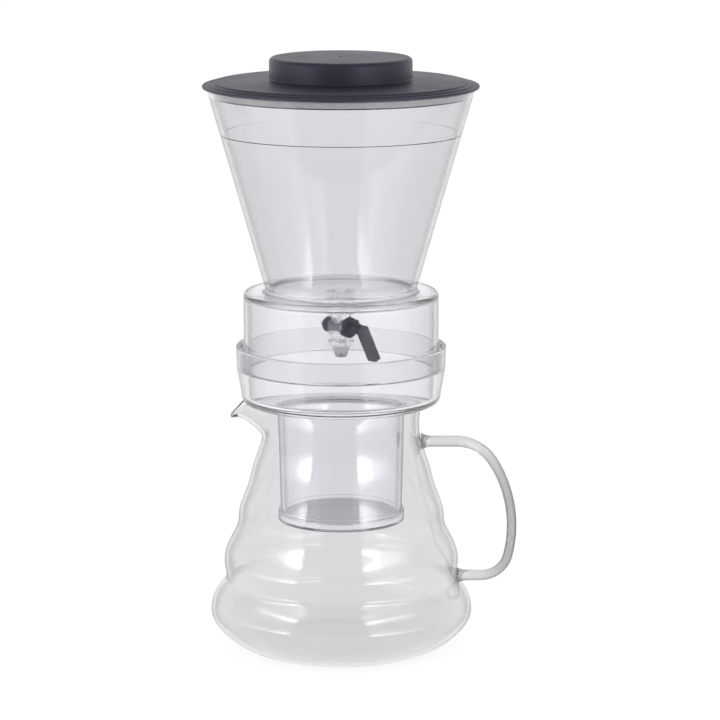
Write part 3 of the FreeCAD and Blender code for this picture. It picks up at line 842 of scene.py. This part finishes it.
ring_bore = BASKET_END_R + AIR_GAP
ring_mouth = BASKET_END_R - RING_LIP
filter_ring = turned("filter_ring_clear", [
    (ring_mouth, ring_low.z + RING_BEVEL),
    (ring_mouth + RING_BEVEL, ring_low.z),
    (ring_bore + RING_WALL, ring_low.z, 0.5),
    (ring_bore + RING_WALL, ring_high.z, 0.5),
    (ring_bore, ring_high.z),
    (ring_bore, mesh_low.z),
    (ring_mouth, mesh_low.z),
])
hand_over(filter_ring, "filter_ring", "dripper", CUP_PLASTIC)

# %% [markdown]
# ## The jug's wall
#
# The jug is blown in a mould, so its wall is one smooth line with three swellings. Such a
# line is best drawn as a curve: each point has two handles, which say where the wall leans there
# and how far it keeps to that. The curve becomes a mesh, and spin turns it into the outer skin.

# %% Jug wall
GLASS = 1.8
FOOT_R = 43.0
WALL_POINTS = (
    # radius, height, lean outwards, how far the handles reach down and up
    (65.1, 18.7, 0.0, 8.4, 10.2),
    (57.5, 35.5, 0.0, 3.0, 4.0),
    (58.3, 44.5, 0.0, 4.0, 8.5),
    (51.1, 66.0, 0.0, 7.5, 5.0),
    (47.8, 78.5, -0.38, 4.5, 4.0),
    (44.9, 88.0, -0.24, 4.0, 4.5),
    (41.8, 98.0, -0.35, 4.5, 5.0),
    (38.7, 113.0, 0.0, 6.5, 3.5),
    (39.9, 124.0, 0.17, 3.5, 1.0),
)
FOOT_RUN = 6.5
BASE_RISE = 1.2
BASE_STEPS = 10
WALL_STEPS = 12
JUG_SIDES = 192


def smooth_step(value, low, high):
    share = min(max((value - low) / (high - low), 0.0), 1.0)
    return share * share * (3 - 2 * share)


deselect_all()
bpy.ops.curve.primitive_bezier_curve_add()
curve = named("jug_body_glass").data
line = curve.splines[0]
line.bezier_points.add(len(WALL_POINTS) + 1 - len(line.bezier_points))
curve.dimensions = "3D"
curve.resolution_u = WALL_STEPS
for point in line.bezier_points:
    point.handle_left_type = point.handle_right_type = "FREE"
foot = line.bezier_points[0]
foot.co = at((FOOT_R, 0))
foot.handle_left = at((FOOT_R - FOOT_RUN, 0))
foot.handle_right = at((FOOT_R + FOOT_RUN, 0))
for point, (radius, height, lean, down, up) in zip(line.bezier_points[1:], WALL_POINTS):
    point.co = at((radius, height))
    point.handle_left = at((radius - lean * down, height - down))
    point.handle_right = at((radius + lean * up, height + up))
bpy.ops.object.convert(target="MESH")
jug = named("jug_body_glass")

# The underside runs from the foot in to the axis. It rises a little, as a jug stands on a ring.
edit()
foot_end = at((FOOT_R, 0))
pick("verts", lambda point: (point.co - foot_end).length < SLIVER)
height = 0
for i in range(1, BASE_STEPS + 1):
    rise = BASE_RISE * smooth_step(i, 0, BASE_STEPS) - height
    height += rise
    extrude((-FOOT_R / BASE_STEPS * MM, 0, rise * MM))
spin(JUG_SIDES)
leave_edit()
print("jug skin has", len(jug.data.vertices), "points")

# %% [markdown]
# ## The spout
#
# On the real jug the spout is drawn out of the hot rim with a rod. A separate spout could be
# joined on, but it would leave a seam. Here the points near it get a weight, most at the tip and
# fading down the neck, and a displace modifier pushes them out by that weight. A second one
# lets the rim dip towards the tip, so that it pours without running down the neck.

# %% Jug spout
SPOUT_REACH = 15.0
SPOUT_ROOT_Z = 106.0
SPOUT_FULL_Z = 122.0
SPOUT_SPREAD = math.radians(17)
SPOUT_DIP = 6.7
SPOUT_DIP_Z = 112.0
SPOUT_BACK = 7.0
LEAST_WEIGHT = 0.001
JUG_RIM_R = WALL_POINTS[-1][0]


def push_out(piece, name, weight, direction, reach):
    """Weighs each point by its place, as weight painting does, and moves it by its weight."""
    group = piece.vertex_groups.new(name=name)
    for point in piece.data.vertices:
        share = weight(point.co / MM)
        if share > LEAST_WEIGHT:
            group.add([point.index], share, "REPLACE")
    apply_modifier("DISPLACE", direction=direction, mid_level=0.0, strength=reach * MM,
                   vertex_group=name)


def swell_weight(place):
    """How much of the spout's reach a point takes, by its height and how far round it is."""
    away = math.atan2(place.y, -place.x) / SPOUT_SPREAD
    return math.exp(-away * away) * smooth_step(place.z, SPOUT_ROOT_Z, SPOUT_FULL_Z)


def dip_weight(place):
    """The rim slopes down over the last stretch before the tip."""
    past = -place.x - (JUG_RIM_R + SPOUT_REACH - SPOUT_BACK)
    upper = smooth_step(place.z, SPOUT_DIP_Z, JUG_RIM_Z)
    return min(max(past / SPOUT_BACK, 0.0), 1.0) * upper


push_out(jug, "swell", swell_weight, "X", -SPOUT_REACH)
push_out(jug, "dip", dip_weight, "Z", -SPOUT_DIP)
upper = [point.co / MM for point in jug.data.vertices if point.co.z > SPOUT_ROOT_Z * MM]
print("spout tip at", min(upper, key=lambda place: place.x))

# %% [markdown]
# ## Thickness and rim
#
# Only now does the skin get its thickness, inwards, so the spout is hollow like the rest. A
# second skin drawn by hand could drift from the first. Solidify keeps them evenly apart.
# Last, a bevel rounds the rim, as the glass maker does by melting it in a flame.

# %% Jug thickness and fire-polished rim
RIM_ROUND = 0.75
RIM_STEPS = 4
RIM_ANGLE = 60

apply_modifier("SOLIDIFY", thickness=GLASS * MM, offset=-1.0, use_even_offset=False)
soften(RIM_ROUND, RIM_ANGLE, RIM_STEPS)
bpy.ops.object.shade_smooth()
report(jug)
hand_over(jug, "jug_body", "jug", JUG_GLASS)

# %% [markdown]
# ## The jug's handle
#
# The handle is a glass rod, bent hot and pressed on to the wall at both ends, where it spreads
# into a small foot. A curve could bend too, but its thickness is harder to steer. Here a circle
# is pushed out of the wall in a few steps that shrink it to the rod's thickness. Spin carries
# it round the centre of each bend, and the far end grows its foot in reverse. A last displace
# thins the outer bend.

# %% Handle
ROD_R = 2.8
WELD_R = 4.4
WELD_STEPS = 4
WELD_LENGTH = 5.0
ROD_SIDES = 32
HANDLE_TOP_Z = 103.7
BEND_X = 57.0
BENDS = (
    # radius, where it starts and ends in degrees from the top, steps
    (22.0, 0.0, 58.0, 12),
    (62.0, 58.0, 104.0, 14),
    (13.5, 104.0, 180.0, 14),
)
THINNER = 0.42
SUNK = 0.5
ROD_SHARP = math.radians(50)


def wall_radius(piece, height):
    """Radius of the jug at that height on the handle's side, from the four nearest points."""
    places = [point.co / MM for point in piece.data.vertices]
    side = [place for place in places if place.x > 0 and abs(place.y) < SLIVER / MM]
    near = sorted(side, key=lambda place: abs(place.z - height))[:4]
    return max(place.x for place in near)


def slide(step, size=1.0, middle=(0, 0, 0)):
    """Pushes the selected ring along and then resizes it about its own middle."""
    extrude(Vector(step) * MM)
    if size != 1.0:
        bpy.ops.transform.resize(value=(size, size, size), center_override=Vector(middle) * MM)


def weld_radius(share):
    """The foot's radius falls off quickly and then runs out into the rod."""
    return ROD_R + (WELD_R - ROD_R) * (1 - share) ** 2


def grow_weld(x, height, way, shares):
    """Pushes the ring along X in short steps and sizes it for each share of the foot's length."""
    for last, share in zip(shares, shares[1:]):
        x += way * WELD_LENGTH / WELD_STEPS
        slide((way * WELD_LENGTH / WELD_STEPS, 0, 0), weld_radius(share) / weld_radius(last),
              (x, 0, height))
    return x


print("the wall lies", round(wall_radius(jug, HANDLE_TOP_Z), 1), "mm out where the rod starts")

# %% [markdown]
# ## Bending the rod
#
# The ring that is pushed and spun is all that is selected, so each step goes on from the one
# before, as a glass worker bends one rod from end to end. Its two open ends are closed last.
# They lie sunk in the jug's wall, where the real rod is fused to it.

# %% Rod from weld to weld
wall_x = wall_radius(jug, HANDLE_TOP_Z) - SUNK
deselect_all()
bpy.ops.mesh.primitive_circle_add(vertices=ROD_SIDES, radius=WELD_R * MM,
                                  location=Vector((wall_x, 0, HANDLE_TOP_Z)) * MM,
                                  rotation=(0, math.pi / 2, 0))
handle = named("jug_handle_rod")
bpy.ops.object.transform_apply()
edit()
select_everything()
shares = [i / WELD_STEPS for i in range(WELD_STEPS + 1)]
x = grow_weld(wall_x, HANDLE_TOP_Z, 1, shares)
slide((BEND_X - x, 0, 0))
here = Vector((BEND_X, 0, HANDLE_TOP_Z))
for radius, start, end, steps in BENDS:
    start = math.radians(start)
    end = math.radians(end)
    centre = here + Vector((-radius * math.sin(start), 0, -radius * math.cos(start)))
    bpy.ops.mesh.spin(steps=steps, angle=end - start, center=centre * MM, axis=(0, -1, 0))
    here = centre + Vector((radius * math.sin(end), 0, radius * math.cos(end)))
x = wall_radius(jug, here.z) - SUNK + WELD_LENGTH
slide((x - here.x, 0, 0))
grow_weld(x, here.z, -1, shares[::-1])
leave_edit()
edit("EDGE")
bpy.ops.mesh.select_all(action="DESELECT")
bpy.ops.mesh.select_non_manifold()
bpy.ops.mesh.edge_face_add()
select_everything()
bpy.ops.mesh.normals_make_consistent(inside=False)
leave_edit()
handle_reach = max(point.co.x for point in handle.data.vertices) / MM
push_out(handle, "thin", lambda place: smooth_step(place.x, BEND_X, handle_reach), "NORMAL",
         -THINNER)
bpy.ops.object.shade_smooth_by_angle(angle=ROD_SHARP)
report(handle)
hand_over(handle, "jug_handle", "jug", ROD_GLASS)

# %% [markdown]
# ## The lid
#
# The lid is one hollow moulding. Its round knob is a shallow drum, its disc steps down twice
# to a rounded rim, and a short skirt under it plugs the tank's mouth. The tiny dimple in the
# middle of the knob is where the plastic entered the tool. One outline again holds it all, from
# the dimple out over the steps and back under the knob, so the lid is hollow when it is lifted.

# %% Lid
LID_R = 67.7
KNOB_R = 35.0
PLATEAU_R = 61.8
STEP_R = 64.6
STEP = 0.75
RIM_THICK = 1.5
DOME = 1.5
LID_PLATE = 2.0
PLUG_WALL = 1.6
PLUG_GAP = 0.35
GATE_R = 1.1
GATE_DEPTH = 0.35

lid_low, lid_high = millimetres("lid")
seat_z = tank_rim_z + AIR_GAP
step_z = tank_rim_z + RIM_THICK
plateau_z = step_z + 2 * STEP
knob_z = plateau_z + DOME
plug_r = cone_inner_r(lid_low.z) - PLUG_GAP
plug_top_r = cone_inner_r(tank_rim_z) - PLUG_GAP
lid = turned("lid_moulding", [
    (0, lid_high.z - GATE_DEPTH),
    (GATE_R, lid_high.z - GATE_DEPTH, 0.15),
    (GATE_R, lid_high.z, 0.15),
    (KNOB_R, lid_high.z, 2.2),
    (KNOB_R, knob_z, 0.5),
    (PLATEAU_R, plateau_z, 0.3),
    (PLATEAU_R + STEP, plateau_z - STEP, 0.3),
    (STEP_R, plateau_z - STEP, 0.3),
    (STEP_R + STEP, step_z, 0.3),
    (LID_R, step_z, 0.65),
    (LID_R, seat_z, 0.65),
    (plug_top_r, seat_z, 0.3),
    (plug_r, lid_low.z, 0.5),
    (plug_r - PLUG_WALL, lid_low.z, 0.5),
    (plug_top_r - PLUG_WALL, plateau_z - LID_PLATE, 0.5),
    (KNOB_R - LID_PLATE, knob_z - LID_PLATE, 0.5),
    (KNOB_R - LID_PLATE, lid_high.z - LID_PLATE, 1.0),
    (0, lid_high.z - LID_PLATE),
], closed=False)
hand_over(lid, "lid", "lid", LID_PLASTIC)

# %% [markdown]
# ## Where the tap is
#
# The tap hangs under the tank's floor. Its axle points to the front right. Everything is
# modelled with the axle lying along X and the axle's height as zero, where round parts
# are easy to draw, and is then turned and lifted into place. A part that turns round the axle
# is drawn upright first and laid over.

# %% Places of the tap
TAP_TURN = math.radians(-45)
TAP_Z = 162.0
LEVER_REST = math.radians(22)
TAP_SIDES = 64


def make_active(piece):
    deselect_all()
    piece.select_set(True)
    bpy.context.view_layer.objects.active = piece


def settle(piece, rotation=(0, 0, 0), location=(0, 0, 0)):
    """Turns and moves a piece and puts that into its mesh."""
    make_active(piece)
    piece.rotation_euler = rotation
    piece.location = Vector(location) * MM
    bpy.ops.object.transform_apply()


def lay_along_axle(piece):
    settle(piece, rotation=(0, math.pi / 2, 0))


def hang(piece):
    """From the tap's own frame to the tower's."""
    settle(piece, rotation=(0, 0, TAP_TURN), location=(0, 0, TAP_Z))


def hang_on_plug(piece):
    settle(piece, rotation=(LEVER_REST, 0, 0))
    hang(piece)


def combine(piece, others, operation):
    """Boolean of a piece with others, which are used up."""
    for other in others:
        make_active(piece)
        apply_modifier("BOOLEAN", operation=operation, solver="EXACT", object=other)
        bpy.data.objects.remove(other)
    make_active(piece)


def bar(name, radius, low, high):
    """A plain round bar up the axis, for joining on or cutting with."""
    deselect_all()
    bpy.ops.mesh.primitive_cylinder_add(vertices=TAP_SIDES, radius=radius * MM,
                                        depth=(high - low) * MM,
                                        location=(0, 0, (low + high) / 2 * MM))
    bpy.ops.object.transform_apply()
    return named(name)


def cross_bar(name, radius, low, high):
    """The same bar laid along the axle."""
    piece = bar(name, radius, low, high)
    lay_along_axle(piece)
    return piece


print("tap's axle at", TAP_Z, "mm, turned by", round(math.degrees(TAP_TURN)), "degrees")

# %% [markdown]
# ## The tap's body
#
# The body is a small clear moulding: a stem that goes up into the boss, a column, a bulb at its
# foot and a barrel that crosses the column and is bored for the plug. The upright parts are one
# outline with the water's channel in it. The barrel lies across it and can't be turned with it,
# so it is joined on by a boolean, and the bore is cut by a second one.

# %% Tap body
BULB_R = 6.4
BULB_TOP = -6.3
BULB_LOW = -9.7
BULB_FOOT_R = 5.3
BULB_RISE = 1.7
COLUMN_R = 4.9
SHOULDER_R = 6.2
SHOULDER_TOP = 8.8
SHOULDER_THICK = 2.0
STEM_R = 4.2
STEM_TOP = 16.3
CHANNEL_R = 1.5
SPIGOT_R = 2.84
SPIGOT_DEPTH = 3.0
BARREL_R = 5.0
BARREL_ENDS = (-5.0, 4.7)
BORE_R = 3.55
PAST_END = 1.0
SMALL_ROUND = 0.12
BODY_ANGLE = 50

shoulder_z = SHOULDER_TOP - SHOULDER_THICK
tap_body = turned("tap_body_clear", [
    (BULB_FOOT_R, BULB_LOW, 1.0),
    (BULB_R, BULB_LOW + BULB_RISE, 2.5),
    (BULB_R, BULB_TOP, 0.9),
    (COLUMN_R, BULB_TOP, 0.3),
    (COLUMN_R, shoulder_z, 0.3),
    (SHOULDER_R, shoulder_z, 0.3),
    (SHOULDER_R, SHOULDER_TOP - AIR_GAP, 0.3),
    (STEM_R, SHOULDER_TOP - AIR_GAP),
    (STEM_R, STEM_TOP, 0.3),
    (CHANNEL_R, STEM_TOP),
    (CHANNEL_R, BULB_LOW + SPIGOT_DEPTH),
    (SPIGOT_R, BULB_LOW + SPIGOT_DEPTH),
    (SPIGOT_R, BULB_LOW),
], sides=TAP_SIDES)
barrel = cross_bar("barrel", BARREL_R, *BARREL_ENDS)
bore = cross_bar("bore", BORE_R, BARREL_ENDS[0] - PAST_END, BARREL_ENDS[1] + PAST_END)
combine(tap_body, [barrel], "UNION")
combine(tap_body, [bore], "DIFFERENCE")
soften(SMALL_ROUND, BODY_ANGLE)
shade()
hang(tap_body)
report(tap_body)
hand_over(tap_body, "tap_body", "tank", TAP_PLASTIC)

# %% [markdown]
# ## Washer and drip tip
#
# The washer is a silicone ring between the tap's shoulder and the boss, and the drip tip is
# a clip-in nozzle with eight flats. Flats can't be turned, so the tip starts as a cone of eight
# sides. Insets and extrusions grow its spigot and sink the water way into both ends.

# %% Washer and drip tip
WASHER_R = 6.2
TIP_R = 4.9
TIP_END_R = 2.9
TIP_LENGTH = 5.4
TIP_SPIGOT_R = 2.6
TIP_SPIGOT_LENGTH = 2.9
TIP_BORE_R = 0.8
TIP_BORE_DEPTH = 2.4
TIP_ROUND = 0.15
TIP_ANGLE = 25
TIP_SHARP = math.radians(20)
FACES_UP = 0.9  # how far a face's normal must point along the axis to count as its end
NEAR_END = 2.0

washer_low, washer_high = millimetres("tap_washer")
washer = turned("tap_washer_silicone", [
    (WASHER_R, washer_low.z + AIR_GAP, 0.4),
    (WASHER_R, washer_high.z - AIR_GAP, 0.4),
    (STEM_R + AIR_GAP, washer_high.z - AIR_GAP, 0.2),
    (STEM_R + AIR_GAP, washer_low.z + AIR_GAP, 0.2),
], sides=TAP_SIDES)
hand_over(washer, "tap_washer", "tank", WASHER_SILICONE)


def grow(test, size, step):
    """Insets the chosen end face by scaling a copy of it, and extrudes that along the axis."""
    pick("faces", test)
    bpy.ops.mesh.extrude_region()
    bpy.ops.transform.resize(value=(size, size, 1))
    extrude((0, 0, step * MM))


tip_middle = BULB_LOW - TIP_LENGTH / 2 - AIR_GAP
spigot_z = (BULB_LOW + NEAR_END) * MM
nozzle_z = (BULB_LOW - NEAR_END) * MM
deselect_all()
bpy.ops.mesh.primitive_cone_add(vertices=8, radius1=TIP_END_R * MM, radius2=TIP_R * MM,
                                depth=TIP_LENGTH * MM, location=(0, 0, tip_middle * MM),
                                rotation=(0, 0, math.pi / 8))
drip_tip = named("drip_tip_faceted")
bpy.ops.object.transform_apply()
edit("FACE")
grow(lambda face: face.normal.z > FACES_UP, TIP_SPIGOT_R / TIP_R, TIP_SPIGOT_LENGTH)
grow(lambda face: face.normal.z > FACES_UP and face.calc_center_median().z > spigot_z,
     CHANNEL_R / TIP_SPIGOT_R, -TIP_SPIGOT_LENGTH)
grow(lambda face: face.normal.z < -FACES_UP and face.calc_center_median().z < nozzle_z,
     TIP_BORE_R / TIP_END_R, TIP_BORE_DEPTH)
leave_edit()
soften(TIP_ROUND, TIP_ANGLE)
bpy.ops.object.shade_smooth_by_angle(angle=TIP_SHARP)
hang(drip_tip)
report(drip_tip)
hand_over(drip_tip, "drip_tip", "tank", TIP_PLASTIC)

# %% [markdown]
# ## Plug and end cap
#
# The plug is the part that turns in the barrel: a blue-grey tube with a cross hole. In line with
# the channel the hole lets the water through, and turned away from it the plug shuts. The cap is
# a pointed cone at the barrel's far end that holds the lever's spindle. Both are turned upright
# and laid over. The cross hole is cut by a boolean, since it runs across the outline.

# %% Plug and end cap
PLUG_R = 3.5
SPINDLE_R = 1.8
WAY_R = 1.25
CAP_R = 3.9
CAP_BASE = -5.2
CAP_RIM = 3.9
CAP_LENGTH = 7.8
CAP_NOSE_R = 0.9
CAP_HOLE = 2.75
PLUG_INSET = 0.2

spindle_hole_r = SPINDLE_R + AIR_GAP
plug = turned("tap_plug_core", [
    (PLUG_R, BARREL_ENDS[0] + PLUG_INSET, 0.2),
    (PLUG_R, BARREL_ENDS[1] - PLUG_INSET, 0.2),
    (spindle_hole_r, BARREL_ENDS[1] - PLUG_INSET),
    (spindle_hole_r, BARREL_ENDS[0] + PLUG_INSET),
], sides=TAP_SIDES)
lay_along_axle(plug)
combine(plug, [bar("way", WAY_R, -BARREL_R, BARREL_R)], "DIFFERENCE")
shade()
hang_on_plug(plug)
hand_over(plug, "tap_plug", "valve", PLUG_PLASTIC)

end_cap = turned("tap_end_cap_cone", [
    (0, CAP_BASE - CAP_LENGTH),
    (CAP_NOSE_R, CAP_BASE - CAP_LENGTH, 0.4),
    (CAP_R, CAP_BASE - CAP_RIM, 0.2),
    (CAP_R, CAP_BASE, 0.25),
    (spindle_hole_r, CAP_BASE),
    (spindle_hole_r, CAP_BASE - CAP_HOLE),
    (0, CAP_BASE - CAP_HOLE),
], closed=False, sides=TAP_SIDES)
lay_along_axle(end_cap)
hang_on_plug(end_cap)
hand_over(end_cap, "tap_end_cap", "valve", LEVER_PLASTIC)

# %% [markdown]
# ## The lever
#
# The lever is one black moulding: a round flange with two small ears, a short neck, an arm that
# hangs from it, and the spindle that runs through the plug into the cap. Each of these is a
# simple shape, so they are made apart and joined, and a bevel breaks the edges of the joins.
# The arm is a box whose foot leans out. The water's cross hole goes through the spindle too.

# %% Lever
FLANGE_R = 5.1
FLANGE_ENDS = (4.9, 7.0)
EAR_REACH = 6.1
EAR_WIDTH = 2.2
NECK_R = 2.7
ARM_START = 11.6
ARM_DEPTH = 5.8
ARM_WIDTH = 4.3
ARM_TOP = 1.6
ARM_FOOT = -16.9
ARM_SPLAY = 2.4
ARM_EDGE = 0.55
EAR_INSET = 0.15
OVERLAP = 0.5  # joined shapes reach into each other, so that the boolean has something to join
ARM_OVERLAP = 1.0
SPINDLE_END = 2.6
LEVER_ANGLE = 35


def block(name, low, high):
    """A box between two corners, for joining on."""
    deselect_all()
    low = Vector(low) * MM
    high = Vector(high) * MM
    bpy.ops.mesh.primitive_cube_add(size=1, location=(low + high) / 2)
    piece = named(name)
    piece.scale = high - low
    bpy.ops.object.transform_apply()
    return piece


lever = turned("tap_lever_black", [
    (0, FLANGE_ENDS[0]),
    (FLANGE_R, FLANGE_ENDS[0], 0.3),
    (FLANGE_R, FLANGE_ENDS[1], 0.6),
    (0, FLANGE_ENDS[1]),
], closed=False, sides=TAP_SIDES)
lay_along_axle(lever)
ear_half = EAR_WIDTH / 2
ears = block("ears", (FLANGE_ENDS[0] + EAR_INSET, -EAR_REACH, -ear_half),
             (FLANGE_ENDS[1] - EAR_INSET, EAR_REACH, ear_half))
neck = cross_bar("neck", NECK_R, FLANGE_ENDS[1] - OVERLAP, ARM_START + ARM_OVERLAP)
spindle = cross_bar("spindle", SPINDLE_R, CAP_BASE - SPINDLE_END, FLANGE_ENDS[0] + OVERLAP)
arm_half = ARM_WIDTH / 2
arm = block("arm", (ARM_START, -arm_half, ARM_FOOT), (ARM_START + ARM_DEPTH, arm_half, ARM_TOP))
edit()
pick("verts", lambda point: point.co.z < 0)
bpy.ops.transform.translate(value=(ARM_SPLAY * MM, 0, 0))
leave_edit()
apply_modifier("BEVEL", width=ARM_EDGE * MM, segments=1, limit_method="NONE")
combine(lever, [ears, neck, spindle, arm], "UNION")
combine(lever, [bar("way", WAY_R, -PLUG_R, PLUG_R)], "DIFFERENCE")
soften(SMALL_ROUND, LEVER_ANGLE)
shade()
hang_on_plug(lever)
report(lever)
hand_over(lever, "tap_lever", "valve", LEVER_PLASTIC)
